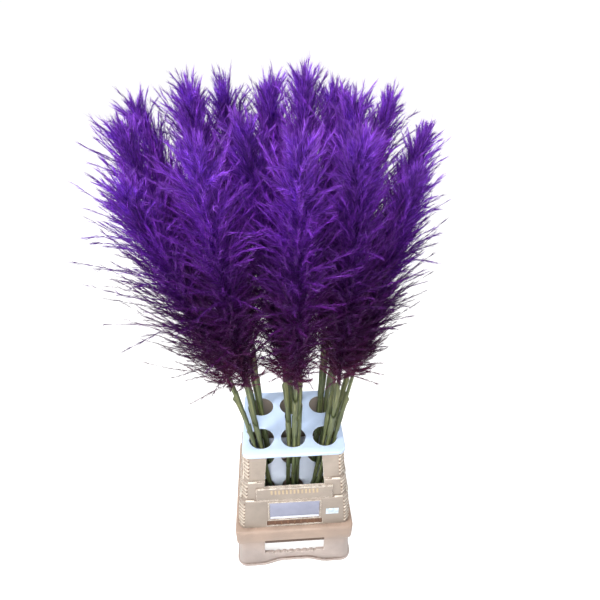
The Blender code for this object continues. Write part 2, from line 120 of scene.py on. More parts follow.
def add_camera():
    """The portrait camera, turned by how far it looks down and aside, and by its roll."""
    ahead = Vector((
        -math.sin(LOOK_ASIDE) * math.cos(LOOK_DOWN),
        math.cos(LOOK_ASIDE) * math.cos(LOOK_DOWN),
        -math.sin(LOOK_DOWN),
    ))
    right = Vector((math.cos(LOOK_ASIDE), math.sin(LOOK_ASIDE), 0.0))
    up = right.cross(ahead)
    turned_right = right * math.cos(CAMERA_ROLL) + up * math.sin(CAMERA_ROLL)
    turned_up = up * math.cos(CAMERA_ROLL) - right * math.sin(CAMERA_ROLL)
    bpy.ops.object.camera_add()
    camera = bpy.context.object
    camera.name = "portrait_camera"
    camera.data.lens = LENS
    camera.data.clip_start = 0.01
    turn = Matrix((turned_right, turned_up, -ahead)).transposed().to_4x4()
    camera.matrix_world = Matrix.Translation(EYE) @ turn
    bpy.context.scene.camera = camera


def add_light(name, place, target, size, power, tint, beam):
    """A round area light that faces its target."""
    bpy.ops.object.light_add(type="AREA", location=place)
    light = bpy.context.object
    light.name = name
    light.data.shape = "DISK"
    light.data.size = size
    light.data.energy = power
    light.data.color = tint
    light.data.spread = math.radians(beam)
    light.rotation_euler = (Vector(target) - Vector(place)).to_track_quat("-Z", "Y").to_euler()


add_camera()
for light in LIGHTS:
    add_light(*light)

world = bpy.data.worlds.new("studio_white")
world.use_nodes = True
backdrop = world.node_tree.nodes["Background"]
backdrop.inputs["Color"].default_value = WHITE
seen = place_node(world.node_tree, "ShaderNodeLightPath")
glow = place_node(world.node_tree, "ShaderNodeMapRange", {
    "Value": seen.outputs["Is Camera Ray"], "To Min": ROOM_GLOW, "To Max": BACKDROP_GLOW,
})
world.node_tree.links.new(glow.outputs[0], backdrop.inputs["Strength"])
bpy.context.scene.world = world
bpy.context.scene.view_settings.view_transform = "Standard"

bpy.ops.object.select_all(action="DESELECT")
bpy.ops.mesh.primitive_plane_add(size=FLOOR_SIZE)
floor = bpy.context.object
floor.name = "studio_floor"
floor_finish, _, floor_shader = new_finish("studio_paper", 0.9)
floor_shader.inputs["Base Color"].default_value = FLOOR_GREY
floor_shader.inputs["Emission Color"].default_value = WHITE
floor_shader.inputs["Emission Strength"].default_value = FLOOR_GLOW
floor_shader.inputs["Specular IOR Level"].default_value = 0.1
floor.data.materials.append(floor_finish)

# The footed base: four feet tied by a low rail under a broad rim, and a shallow tub that holds the
# water. It is one moulding in beige plastic with a rounded lip along its foot. Its edges are paler,
# partly scuffs and partly painted highlight, and a dark brown strip along the rim's lower edge over
# the openings is painted shadow.

BASE_EDGE = 0.0016
LIP_RADIUS = 0.0042
LIP_OUT = 0.0008
FOOT_HALF = (0.186, 0.182)
LEG_TOP_HALF = 0.178
LEG_HEIGHT = 0.127
ARCH_HALF = (0.092, 0.056)
ARCH_RISE = 0.022
ARCH_BEND = 0.003
ARCH_EASE = (0.016, 0.014)
FOOT_CORNER = 0.030
CORNER_STEPS = 6
RIM_HALF = (0.187, 0.176)
# The painted shadow strip under the rim: its size, how far it stands proud, and its height
RIM_SHADOW_SIZE = (0.192, 0.0044, 0.0140)
RIM_SHADOW_PROUD = 0.0004
RIM_SHADOW_HEIGHT = 0.1304
EDGE_FACING = (0.995, 0.88)
WEAR_HIGHLIGHT_PATCHES = (0.36, 0.58, 0.15, 1.0)
SHELTERED = (0.86, 0.42)
BLOTCHED = (0.38, 0.62, 0.25, 1.0)
TONE_SPREAD = (0.3, 0.7)
SHEEN_SPREAD = (-0.08, 0.14)
FEET_TONE = (paint(158, 145, 139), 0.070, 0.150)
# The dark tone laid into corners: partly dirt, partly painted shade
DIRT_SHADE_BROWN = paint(92, 64, 44)

# The tones of a finish: clean; worn, which is also a painted highlight along edges; and dirty, which is also
# painted shade in corners
BASE_TONES = (paint(151, 131, 117), paint(232, 222, 212), DIRT_SHADE_BROWN)
RIM_SHADOW_TONES = (paint(74, 54, 42), paint(90, 68, 54), paint(52, 36, 26))


def new_group(name, inputs, outputs):
    """An effect for several materials: its own node tree, its given values and its results."""
    group = bpy.data.node_groups.new(name, "ShaderNodeTree")
    for label, value in inputs:
        socket = group.interface.new_socket(label, in_out="INPUT", socket_type="NodeSocketFloat")
        socket.default_value = value
    for label in outputs:
        group.interface.new_socket(label, in_out="OUTPUT", socket_type="NodeSocketFloat")
    return group, place_node(group, "NodeGroupInput"), place_node(group, "NodeGroupOutput")


def rescale(tree, value, low, high, new_low, new_high):
    """A value carried from one range to another, and held within it."""
    return place_node(tree, "ShaderNodeMapRange", {
        "Value": value, "From Min": low, "From Max": high, "To Min": new_low, "To Max": new_high,
    }).outputs[0]


def product(tree, first, second):
    """Two values multiplied."""
    return place_node(tree, "ShaderNodeMath", {0: first, 1: second}, operation="MULTIPLY").outputs[0]


def blend(tree, share, first, second, kind="MIX"):
    """One colour giving way to another."""
    return place_node(
        tree, "ShaderNodeMix", {0: share, 6: first, 7: second}, data_type="RGBA", blend_type=kind,
    ).outputs[2]


def object_noise(tree, scale, detail, roughness=0.5):
    """Noise that stays with the piece it is on."""
    place = place_node(tree, "ShaderNodeTexCoord")
    return place_node(tree, "ShaderNodeTexNoise", {
        "Vector": place.outputs["Object"], "Scale": scale, "Detail": detail, "Roughness": roughness,
    }).outputs["Fac"]


def make_grain():
    """The fine spark-eroded grain of a mould, and the broad uneven tone of old plastic."""
    group, given, result = new_group(
        "moulded_grain", [("Fineness", 900.0), ("Breadth", 14.0)], ["Height", "Tone"],
    )
    fine = object_noise(group, given.outputs["Fineness"], 2.0)
    broad = object_noise(group, given.outputs["Breadth"], 6.0, 0.66)
    group.links.new(fine, result.inputs["Height"])
    group.links.new(broad, result.inputs["Tone"])
    return group


def make_wear_and_highlight():
    """Pale marks along edges: partly scuffs from handling, partly a painted highlight."""
    group, given, result = new_group("edge_wear_and_painted_highlight", [("Radius", 0.003), ("Patches", 90.0)], ["Wear"])
    rounded = place_node(group, "ShaderNodeBevel", {"Radius": given.outputs["Radius"]}, samples=4)
    surface = place_node(group, "ShaderNodeNewGeometry")
    facing = place_node(
        group, "ShaderNodeVectorMath", {0: rounded.outputs["Normal"], 1: surface.outputs["Normal"]},
        operation="DOT_PRODUCT",
    )
    # The mask of all edges, where the paler tone is partly wear and partly a painted highlight
    edge = rescale(group, facing.outputs["Value"], *EDGE_FACING, 0.0, 1.0)
    patchy_edges = rescale(group, object_noise(group, given.outputs["Patches"], 3.0), *WEAR_HIGHLIGHT_PATCHES)
    group.links.new(product(group, edge, patchy_edges), result.inputs["Wear"])
    return group


def make_grime_and_shade():
    """Darkening in corners and grooves, partly settled dirt and partly painted shade, broken up into
    blotches.
    """
    group, given, result = new_group("grime_and_painted_shade", [("Reach", 0.02), ("Blotches", 60.0)], ["Dirt"])
    # Ambient occlusion finds the corners and grooves that get less light; darkening them is painted shade as
    # well as dirt
    shelter = place_node(
        group, "ShaderNodeAmbientOcclusion", {"Distance": given.outputs["Reach"]}, samples=8,
    )
    hidden = rescale(group, shelter.outputs["AO"], *SHELTERED, 0.0, 1.0)
    patchy = rescale(group, object_noise(group, given.outputs["Blotches"], 5.0, 0.7), *BLOTCHED)
    group.links.new(product(group, hidden, patchy), result.inputs["Dirt"])
    return group


effects = (make_grain(), make_wear_and_highlight(), make_grime_and_shade())


def moulded_plastic(name, tones, roughness, dirt_shade_share, spotted, below=None):
    """Moulded plastic: grained, uneven in tone, paler at its edges as scuffs and painted highlight, and
    darker in its corners as dirt and painted shade.

    Below, if given, is the tone further down and the heights between which it gives way.
    """
    clean, worn_lit, dirty_shaded = tones
    made, tree, shader = new_finish(name, roughness)
    grain, wear_highlight, grime_shade = (place_node(tree, "ShaderNodeGroup", node_tree=effect) for effect in effects)
    tone = rescale(tree, grain.outputs["Tone"], *TONE_SPREAD, 1.0 - spotted, 1.0 + spotted)
    uneven = place_node(tree, "ShaderNodeVectorMath", {0: clean[:3], "Scale": tone}, operation="SCALE")
    if below:
        spot = place_node(tree, "ShaderNodeTexCoord")
        height = place_node(tree, "ShaderNodeSeparateXYZ", {0: spot.outputs["Object"]})
        rise = rescale(tree, height.outputs["Z"], below[1], below[2], 0.0, 1.0)
        tree.links.new(blend(tree, rise, below[0], clean), uneven.inputs[0])
    # Paler along edges: partly scuffs, partly a painted highlight
    scuffed_and_lit = blend(tree, wear_highlight.outputs["Wear"], uneven.outputs[0], worn_lit)
    # Darker where the occlusion mask says: partly dirt, partly painted shade
    soiled_and_shaded = blend(tree, product(tree, grime_shade.outputs["Dirt"], dirt_shade_share), scuffed_and_lit, dirty_shaded)
    tree.links.new(soiled_and_shaded, shader.inputs["Base Color"])
    dulled = rescale(
        tree, grain.outputs["Tone"], *TONE_SPREAD, roughness + SHEEN_SPREAD[0], roughness + SHEEN_SPREAD[1],
    )
    tree.links.new(dulled, shader.inputs["Roughness"])
    bump = place_node(tree, "ShaderNodeBump", {
        "Height": grain.outputs["Height"], "Strength": 0.18, "Distance": 0.0004,
    })
    tree.links.new(bump.outputs[0], shader.inputs["Normal"])
    return made


def pick_only(piece):
    """Selects this piece alone, for the next operator."""
    bpy.ops.object.select_all(action="DESELECT")
    piece.select_set(True)
    bpy.context.view_layer.objects.active = piece


def finish_piece(piece, finish):
    """Puts a piece's place in its mesh, gives it its material, and lets it ride on the container."""
    pick_only(piece)
    bpy.ops.object.transform_apply(location=True, rotation=True, scale=True)
    piece.data.materials.clear()
    piece.data.materials.append(finish)
    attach(piece, "root")


def round_edges(piece, width, segments=2):
    """Rounds the sharp edges of a piece, and smooths what lies between them."""
    modifier = piece.modifiers.new("rounded_edges", "BEVEL")
    modifier.width = width
    modifier.segments = segments
    modifier.limit_method = "ANGLE"
    modifier.angle_limit = math.radians(32)
    modifier.use_clamp_overlap = False
    pick_only(piece)
    bpy.ops.object.modifier_apply(modifier=modifier.name)
    bpy.ops.object.shade_smooth_by_angle(angle=math.radians(40))


def moulded_copy(node, name, edge):
    """A finer copy of a container piece, with its loose triangles merged and its edges rounded."""
    mesh = nodes[node].data.copy()
    mesh.name = name
    piece = bpy.data.objects.new(name, mesh)
    bpy.context.scene.collection.objects.link(piece)
    pick_only(piece)
    bpy.ops.object.mode_set(mode="EDIT")
    bpy.ops.mesh.select_all(action="SELECT")
    bpy.ops.mesh.remove_doubles(threshold=0.00002)
    bpy.ops.mesh.dissolve_limited(angle_limit=math.radians(1))
    bpy.ops.object.mode_set(mode="OBJECT")
    round_edges(piece, edge)
    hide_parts(node)
    return piece


def lip_path():
    """The base's lower outline, up over the arch on each side and round the corners."""
    path = []
    for side in range(4):
        half, out = FOOT_HALF if side % 2 == 0 else FOOT_HALF[::-1]
        turn = Matrix.Rotation(side * math.pi / 2, 3, "Z")
        run = [
            (-half + FOOT_CORNER, 0.0), (-ARCH_HALF[0] - ARCH_EASE[0], 0.0), (-ARCH_HALF[0], ARCH_BEND),
            (-ARCH_HALF[1], ARCH_RISE - ARCH_BEND), (-ARCH_HALF[1] + ARCH_EASE[1], ARCH_RISE),
        ]
        run += [(-x, z) for x, z in reversed(run)]
        for x, z in run:
            lean = z * (FOOT_HALF[0] - LEG_TOP_HALF) / LEG_HEIGHT
            spot = Vector((x, -(out + LIP_OUT - lean), LIP_RADIUS + z))
            path.append(turn @ spot)
        middle = Vector((half - FOOT_CORNER, -(out - FOOT_CORNER), 0.0))
        for step in range(1, CORNER_STEPS):
            angle = math.radians(-90 + 90 / CORNER_STEPS * step)
            spot = middle + (FOOT_CORNER + LIP_OUT) * Vector((math.cos(angle), math.sin(angle), 0.0))
            spot.z = LIP_RADIUS
            path.append(turn @ spot)
    return [point + CENTRE for point in path]


def make_foot_lip():
    """The rounded lip that stiffens the lower edge of the feet and the rail."""
    curve = bpy.data.curves.new("foot_lip", "CURVE")
    curve.dimensions = "3D"
    curve.bevel_depth = LIP_RADIUS
    curve.bevel_resolution = 2
    path = lip_path()
    spline = curve.splines.new("POLY")
    spline.points.add(len(path) - 1)
    spline.use_cyclic_u = True
    for slot, point in zip(spline.points, path):
        slot.co = (*point, 1.0)
    lip = bpy.data.objects.new("foot_lip", curve)
    bpy.context.scene.collection.objects.link(lip)
    pick_only(lip)
    bpy.ops.object.convert(target="MESH")
    bpy.ops.object.shade_smooth_by_angle(angle=math.radians(60))
    return bpy.context.object


def add_block(size, centre, lean=0.0, turn=0.0):
    """A bar or a plate of that size, about that place."""
    bpy.ops.object.select_all(action="DESELECT")
    place = CENTRE + Vector(centre)
    bpy.ops.mesh.primitive_cube_add(size=1.0, location=place, rotation=(lean, 0.0, turn))
    block = bpy.context.object
    block.scale = size
    bpy.ops.object.transform_apply(location=True, rotation=True, scale=True)
    return block


def join_blocks(blocks, name, edge, segments=1):
    """Several blocks as one piece, with rounded edges."""
    pick_only(blocks[0])
    for block in blocks[1:]:
        block.select_set(True)
    if len(blocks) > 1:
        bpy.ops.object.join()
    piece = bpy.context.object
    piece.name = piece.data.name = name
    round_edges(piece, edge, segments)
    return piece


def make_rim_shadow_strips():
    """A dark brown strip along the rim's lower edge over each opening between the feet: painted shadow."""
    shadow_strips = []
    for side in range(4):
        turn = side * math.pi / 2
        rim = RIM_HALF[1] if side % 2 == 0 else RIM_HALF[0]
        out = rim - RIM_SHADOW_SIZE[1] / 2 + RIM_SHADOW_PROUD
        place = Matrix.Rotation(turn, 3, "Z") @ Vector((0.0, -out, RIM_SHADOW_HEIGHT))
        shadow_strips.append(add_block(RIM_SHADOW_SIZE, place, 0.0, turn))
    return join_blocks(shadow_strips, "rim_painted_shadow", edge=0.0008)


base_finish = moulded_plastic(
    "base_beige", BASE_TONES, roughness=0.52, dirt_shade_share=0.85, spotted=0.16, below=FEET_TONE,
)
rim_shadow_finish = moulded_plastic("painted_rim_shadow", RIM_SHADOW_TONES, roughness=0.6, dirt_shade_share=0.8, spotted=0.25)
finish_piece(moulded_copy("base", "footed_base", BASE_EDGE), base_finish)
finish_piece(make_foot_lip(), base_finish)
# The rim's dark strip is painted shadow
finish_piece(make_rim_shadow_strips(), rim_shadow_finish)

# The lower plate: a pale blue moulded sheet with six round holes, lying on the tub's brim, that keeps
# the stems' feet apart. It stays cleaner than the hood around it, and its blue is painted lighter than
# the top plate's, as painted light inside the hood.

# The plates' dark corner tone: partly dirt, partly painted shade
PLATE_DIRT_SHADE = paint(120, 122, 128)
LOWER_LIT_TONES = (paint(212, 222, 240), paint(240, 246, 252), PLATE_DIRT_SHADE)
# The lower plate's blue is painted lighter than the top plate's, as painted light
lower_lit_finish = moulded_plastic("lower_plate_blue_lit", LOWER_LIT_TONES, roughness=0.42, dirt_shade_share=0.25, spotted=0.04)
lower_plate = moulded_copy("lower_plate", "stem_grid_low", edge=0.0010)
finish_piece(lower_plate, lower_lit_finish)

# The hood: three stepped tiers of beige plastic that lift off the base, with a window at the front and
# one at each side, ribbed corners for grip, and a beam over the label. A comb of plain upright bars
# stands on the beam, and another on the wall behind.

HOOD_TIERS = (
    (0.1900, 0.3150, (0.175, 0.160), (0.166, 0.148)),
    (0.3150, 0.3880, (0.160, 0.142), (0.155, 0.135)),
    (0.3880, 0.4960, (0.151, 0.128), (0.1455, 0.118)),
)
HOOD_CORNER = 0.028
HOOD_EDGE = 0.0009
LADDER_STEP = 0.0150
LADDER_RUNG = (0.023, 0.0080, 0.0068)
LADDER_GAP = (0.021, 0.0080, 0.0082)
LADDER_SUNK = (0.0006, 0.0030)
LADDER_HEADROOM = 0.6
BEAM_HALF = 0.116
BEAM_THICK = 0.0056
BEAM_RANGE = (0.3155, 0.3670)
BEAM_SUNK = 0.0008
BEAM_LIP = (0.0042, 0.0032)
BEAM_LIP_OUT = 0.75
BEAM_LIP_DROP = 0.0010
COMB_BARS = 13
COMB_STEP = 0.0115
REAR_BAR = (0.0054, 0.0036, 0.0248)
REAR_BAR_HEIGHT = 0.346
COMB_BAR = (0.0056, 0.0026, 0.0170)
COMB_HEIGHT = 0.350
COMB_SUNK = 0.0006
LEDGE_RISE = 0.0015
LEDGE_INSET = 0.0028
LEDGE_ACROSS = (0.026, 0.0036, 0.0048)
LEDGE_ALONG = (0.0036, 0.030, 0.0048)
LEDGE_FROM_CORNER = (0.0300, 0.0330)
SLOT_HALF = 0.088
SLOT_RANGE = (0.1945, 0.2195)
SLOT_DEPTH = 0.0036
SLOT_SUNK = 0.0004
SLOT_SHEET = 0.0012
SLOT_RIBS = 9
SLOT_RIB_STEP = 0.0205
SLOT_RIB = (0.0028, 0.0030)
SLOT_RIB_OUT = 0.0009
SLOT_PLAY = (0.001, 0.0015)
# The pale tone along the hood's edges: partly wear, partly painted highlight
HOOD_WORN_HIGHLIGHT = paint(238, 230, 218)
HOOD_TONES = (paint(138, 127, 117), HOOD_WORN_HIGHLIGHT, DIRT_SHADE_BROWN)
# The rungs' lighter beige: a painted highlight
RUNG_LIT_TONES = (paint(160, 147, 132), HOOD_WORN_HIGHLIGHT, DIRT_SHADE_BROWN)
# The gaps' dark brown: partly dirt, partly painted shade
GAP_DIRT_SHADE_TONES = (paint(98, 70, 54), paint(120, 90, 70), paint(54, 36, 26))
# The ledge corners' pale cream: a painted highlight
LEDGE_HIGHLIGHT_TONES = (paint(196, 188, 174), paint(244, 240, 232), DIRT_SHADE_BROWN)
COMB_TONES = (paint(168, 150, 122), paint(174, 156, 128), DIRT_SHADE_BROWN)
# The slot's back: painted shade
SLOT_SHADE_TONES = (paint(96, 66, 48), paint(140, 106, 80), paint(60, 34, 22))


def between(ends, share):
    """A value that share of the way from one end to the other."""
    return ends[0] + (ends[1] - ends[0]) * share


def hood_half(height):
    """The hood's outer half width and half depth at a height."""
    for low, high, bottom, top in HOOD_TIERS:
        if height <= high:
            share = (height - low) / (high - low)
            return [between(ends, share) for ends in zip(bottom, top)]
    return list(HOOD_TIERS[-1][3])


def front_lean(tier):
    """How far a tier's front wall leans back, as an angle."""
    low, high, bottom, top = HOOD_TIERS[tier]
    return -math.atan2(bottom[1] - top[1], high - low)


def make_ladders(size, sunk, start, name, edge):
    """A row of short blocks up each of the hood's four corners: the rungs, or the dark gaps between."""
    blocks = []
    for low, high, _, _ in HOOD_TIERS:
        first, last = low + start, high - LADDER_STEP * LADDER_HEADROOM
        for count in range(int((last - first) / LADDER_STEP) + 1):
            height = first + count * LADDER_STEP
            half = hood_half(height)
            for side, row in ((-1, -1), (1, -1), (-1, 1), (1, 1)):
                reach = (HOOD_CORNER - sunk) * math.sqrt(0.5)
                x = side * (half[0] - HOOD_CORNER + reach)
                y = row * (half[1] - HOOD_CORNER + reach)
                blocks.append(add_block(size, (x, y, height), 0.0, -side * row * math.pi / 4))
    return join_blocks(blocks, name, edge)


def make_beam():
    """The plain beam between the window and the label, flush with the label wall, with a thin lip."""
    low, high = BEAM_RANGE
    lean = front_lean(1)
    middle = sum(BEAM_RANGE) / 2
    y = -(hood_half(middle)[1] + BEAM_THICK / 2 - BEAM_SUNK)
    lip_y = -(hood_half(high)[1] + BEAM_THICK * BEAM_LIP_OUT)
    return join_blocks([
        add_block((2 * BEAM_HALF, BEAM_THICK, high - low), (0, y, middle), lean),
        add_block((2 * BEAM_HALF, *BEAM_LIP), (0, lip_y, high - BEAM_LIP_DROP), lean),
    ], "front_beam", edge=0.0012)


def make_comb():
    """The comb of even upright bars along the middle of the beam, and of the wall behind it."""
    lean = front_lean(1)
    y = -(hood_half(COMB_HEIGHT)[1] + BEAM_THICK - COMB_SUNK)
    rear_y = hood_half(COMB_HEIGHT)[1] + REAR_BAR[1] / 2 - COMB_SUNK
    blocks = []
    for count in range(COMB_BARS):
        x = (count - (COMB_BARS - 1) / 2) * COMB_STEP
        blocks.append(add_block(COMB_BAR, (x, y, COMB_HEIGHT), lean))
        blocks.append(add_block(REAR_BAR, (x, rear_y, REAR_BAR_HEIGHT)))
    return join_blocks(blocks, "beam_comb", edge=0.0008)


def make_ledge_corners():
    """The raised corner pieces on the two ledges, which stop a stacked hood from sliding."""
    blocks = []
    for _, ledge, _, half in HOOD_TIERS[:2]:
        height = ledge + LEDGE_RISE
        for side in (-1, 1):
            for row in (-1, 1):
                x, y = side * (half[0] - LEDGE_FROM_CORNER[0]), row * (half[1] - LEDGE_INSET)
                blocks.append(add_block(LEDGE_ACROSS, (x, y, height)))
                x, y = side * (half[0] - LEDGE_INSET), row * (half[1] - LEDGE_FROM_CORNER[1])
                blocks.append(add_block(LEDGE_ALONG, (x, y, height)))
    return join_blocks(blocks, "ledge_corners", edge=0.0010)


def make_slot_floor():
    """The ribbed back of the long slot at the hood's lower edge, dark brown as painted shade inside the slot.
    """
    lean = front_lean(0)
    middle = sum(SLOT_RANGE) / 2
    front = -(hood_half(middle)[1] - SLOT_DEPTH - SLOT_SUNK)
    tall = SLOT_RANGE[1] - SLOT_RANGE[0]
    sheet = (2 * SLOT_HALF - SLOT_PLAY[0], SLOT_SHEET, tall - SLOT_PLAY[0])
    blocks = [add_block(sheet, (0, front, middle), lean)]
    for count in range(SLOT_RIBS):
        x = (count - (SLOT_RIBS - 1) / 2) * SLOT_RIB_STEP
        blocks.append(add_block((*SLOT_RIB, tall - SLOT_PLAY[1]), (x, front - SLOT_RIB_OUT, middle), lean))
    return join_blocks(blocks, "slot_floor", edge=0.0004)


hood_finish = moulded_plastic("hood_beige", HOOD_TONES, roughness=0.5, dirt_shade_share=0.72, spotted=0.16)
# Rungs are lighter than the hood as a painted highlight; the dark brown gaps between are partly dirt and
# partly painted shade
rung_lit_finish = moulded_plastic("rung_beige_lit", RUNG_LIT_TONES, roughness=0.5, dirt_shade_share=0.9, spotted=0.25)
gap_dirt_shade_finish = moulded_plastic("gap_dirt_and_shade", GAP_DIRT_SHADE_TONES, roughness=0.65, dirt_shade_share=1.0, spotted=0.35)
# The ledge corner pieces are pale cream as a painted highlight where light catches the ledges
ledge_highlight_finish = moulded_plastic("ledge_cream_highlight", LEDGE_HIGHLIGHT_TONES, roughness=0.42, dirt_shade_share=0.5, spotted=0.1)
comb_finish = moulded_plastic("comb_ochre", COMB_TONES, roughness=0.5, dirt_shade_share=0.2, spotted=0.04)
# The slot's back is painted dark as the shade inside it
slot_shade_finish = moulded_plastic("slot_painted_shade", SLOT_SHADE_TONES, roughness=0.6, dirt_shade_share=1.0, spotted=0.3)
rungs = (LADDER_RUNG, LADDER_SUNK[0], LADDER_STEP, "corner_rungs", 0.0011)
gaps = (LADDER_GAP, LADDER_SUNK[1], LADDER_STEP * 1.5, "corner_gaps", 0.0004)
finish_piece(moulded_copy("hood", "stepped_hood", HOOD_EDGE), hood_finish)
finish_piece(make_ladders(*rungs), rung_lit_finish)
finish_piece(make_ladders(*gaps), gap_dirt_shade_finish)
finish_piece(make_beam(), hood_finish)
finish_piece(make_comb(), comb_finish)
finish_piece(make_ledge_corners(), ledge_highlight_finish)
finish_piece(make_slot_floor(), slot_shade_finish)

# The label card and its holder: a bare grey-blue card slid behind a beige frame, with a thin strip
# along its foot painted pale as a highlight line, and a small bare film sticker beside it.

LABEL_HALF = 0.078
LABEL_RANGE = (0.227, 0.305)
FRAME_BAR = 0.0045
FRAME_THICK = 0.0036
FRAME_OUT = 0.0004
STRIP_SIZE = (0.152, 0.0010, 0.008)
STRIP_RISE = 0.008
STRIP_OUT = 0.0002
# The label parts' dark corner tone: partly dust, partly painted shade
DUST_SHADE = paint(150, 140, 130)
# The strip's pale tone: a painted highlight
STRIP_HIGHLIGHT_TONES = (paint(196, 198, 208), paint(226, 228, 234), DUST_SHADE)
CARD_TONES = (paint(128, 131, 150), paint(174, 177, 194), paint(120, 110, 112))
FILM_TONES = (paint(156, 172, 186), paint(196, 208, 218), DUST_SHADE)


def make_label_frame():
    """The four bars that hold the card by its edges."""
    low, high = LABEL_RANGE
    lean = front_lean(0)
    middle = sum(LABEL_RANGE) / 2
    y = -(hood_half(middle)[1] + FRAME_OUT)
    blocks = []
    for side in (-1, 1):
        x = side * (LABEL_HALF + FRAME_BAR / 2)
        blocks.append(add_block((FRAME_BAR, FRAME_THICK, high - low), (x, y, middle), lean))
    for height in (low - FRAME_BAR / 2, high + FRAME_BAR / 2):
        y = -(hood_half(height)[1] + FRAME_OUT)
        size = (2 * (LABEL_HALF + FRAME_BAR), FRAME_THICK, FRAME_BAR)
        blocks.append(add_block(size, (0, y, height), lean))
    return join_blocks(blocks, "label_frame", edge=0.0009, segments=2)


def make_label_strip():
    """The thin strip along the card's foot, painted pale as a highlight line."""
    height = LABEL_RANGE[0] + STRIP_RISE
    y = -(hood_half(height)[1] + STRIP_OUT)
    return join_blocks([add_block(STRIP_SIZE, (0, y, height), front_lean(0))], "label_strip", edge=0.0003)


# The strip is painted pale as a highlight line
strip_highlight_finish = moulded_plastic("strip_painted_highlight", STRIP_HIGHLIGHT_TONES, roughness=0.25, dirt_shade_share=0.3, spotted=0.05)
card_finish = moulded_plastic("card_grey_blue", CARD_TONES, roughness=0.45, dirt_shade_share=0.4, spotted=0.16)
film_finish = moulded_plastic("film_pale_blue", FILM_TONES, roughness=0.3, dirt_shade_share=0.3, spotted=0.06)
finish_piece(make_label_frame(), hood_finish)
finish_piece(make_label_strip(), strip_highlight_finish)
finish_piece(moulded_copy("label_card", "bare_card", edge=0.0003), card_finish)
finish_piece(moulded_copy("sticker", "bare_sticker", edge=0.0002), film_finish)

# The top plate: a pale blue cap with a turned-down lip and six holes that hold the stems upright. It
# drops over the hood's brim, and its edges are near white, partly as wear and partly as a painted highlight.

TOP_TONES = (paint(172, 190, 217), paint(248, 251, 255), PLATE_DIRT_SHADE)
top_finish = moulded_plastic("top_plate_blue", TOP_TONES, roughness=0.38, dirt_shade_share=0.3, spotted=0.05)
top_plate = moulded_copy("top_plate", "stem_grid_top", edge=0.0009)
finish_piece(top_plate, top_finish)

# Stems: cut grass stalks, straight through both plates and bowing outwards above them. They stand on
# the tub's floor in bundles, one bundle to a hole. Each has swollen joints and a streaky skin.

PLATE_TOP = 0.500
LOWER_PLATE_FLOOR = 0.2430
TUB_FLOOR_TOP = 0.1240
HOLE_PITCH = (0.094, 0.123)
STEM_TAPER = 0.75
BOW_POWER = 1.5
HEAD_FOOT = 0.775
FOOT_CLEARANCE = 0.0003
STEM_SIDES = 12
STEM_STEP = 0.028
JOINT_STEP = (0.15, 0.21)
LOWEST_JOINT = 0.02
JOINT_HALF = 0.0022
FIBRES = ((420, 420, 9), 4.0)
PATCHES = ((70, 70, 7), 3.0)
FIBRE_STOPS = (0.30, 0.5, 0.72)
PATCH_STOPS = ((0.35, (190, 196, 186)), (0.66, (255, 236, 196)))
YELLOWING = 0.9
SKIN_TONES = ((44, 58, 34), (84, 98, 66), (136, 148, 116))
STEM_SEED = 31

# A joint's rings: height from its middle, and how swollen it is there
JOINT_RINGS = ((-JOINT_HALF, 1.0), (-JOINT_HALF / 3, 1.14), (JOINT_HALF / 3, 1.08), (JOINT_HALF, 1.0))

# Each hole: column, row, and how far its bundle leans over each metre of height
HOLES = {
    "front_left": (-1, -1, (-0.110, -0.040)),
    "front_centre": (0, -1, (0.010, -0.045)),
    "front_right": (1, -1, (0.100, -0.042)),
    "rear_left": (-1, 1, (-0.090, 0.035)),
    "rear_centre": (0, 1, (-0.025, 0.032)),
    "rear_right": (1, 1, (0.045, 0.038)),
}

# Each plume: hole, place in its bundle, tip of the head, and the stem's radius at its foot
PLUMES = (
    ("left_outer", "front_left", (-0.0136, 0.0017), (-0.320, -0.070, 1.385), 0.0054),
    ("left_low", "front_left", (-0.0076, -0.0145), (-0.285, -0.220, 1.325), 0.0054),
    ("left_front", "front_left", (0.0102, -0.0102), (-0.150, -0.300, 1.410), 0.0065),
    ("left_inner", "front_left", (0.0034, 0.0136), (-0.195, -0.020, 1.450), 0.0068),
    ("centre_left", "front_centre", (-0.0152, 0.0010), (-0.090, -0.200, 1.425), 0.0070),
    ("centre_front", "front_centre", (0.0010, -0.0090), (-0.010, -0.340, 1.430), 0.0070),
    ("centre_right", "front_centre", (0.0140, 0.0040), (0.015, -0.050, 1.475), 0.0068),
    ("right_front", "front_right", (-0.0045, -0.0110), (0.080, -0.270, 1.420), 0.0070),
    ("right_low", "front_right", (0.0150, -0.0060), (0.210, -0.170, 1.335), 0.0062),
    ("right_outer", "front_right", (0.0058, 0.0085), (0.270, 0.000, 1.370), 0.0065),
    ("right_inner", "front_right", (-0.0145, 0.0040), (0.095, -0.120, 1.445), 0.0068),
    ("rear_left_outer", "rear_left", (-0.0119, -0.0051), (-0.340, 0.120, 1.395), 0.0068),
    ("rear_left", "rear_left", (0.0000, 0.0127), (-0.245, 0.270, 1.385), 0.0068),
    ("rear_left_inner", "rear_left", (0.0102, -0.0059), (-0.135, 0.050, 1.440), 0.0068),
    ("rear_centre_left", "rear_centre", (-0.0051, -0.0085), (-0.045, 0.060, 1.445), 0.0057),
    ("rear_centre", "rear_centre", (0.0051, 0.0093), (-0.055, 0.280, 1.400), 0.0068),
    ("rear_right_inner", "rear_right", (-0.0102, -0.0051), (0.085, 0.065, 1.435), 0.0070),
    ("rear_right", "rear_right", (0.0000, 0.0127), (0.150, 0.280, 1.385), 0.0070),
    ("rear_right_outer", "rear_right", (0.0112, -0.0051), (0.225, 0.140, 1.405), 0.0070),
)


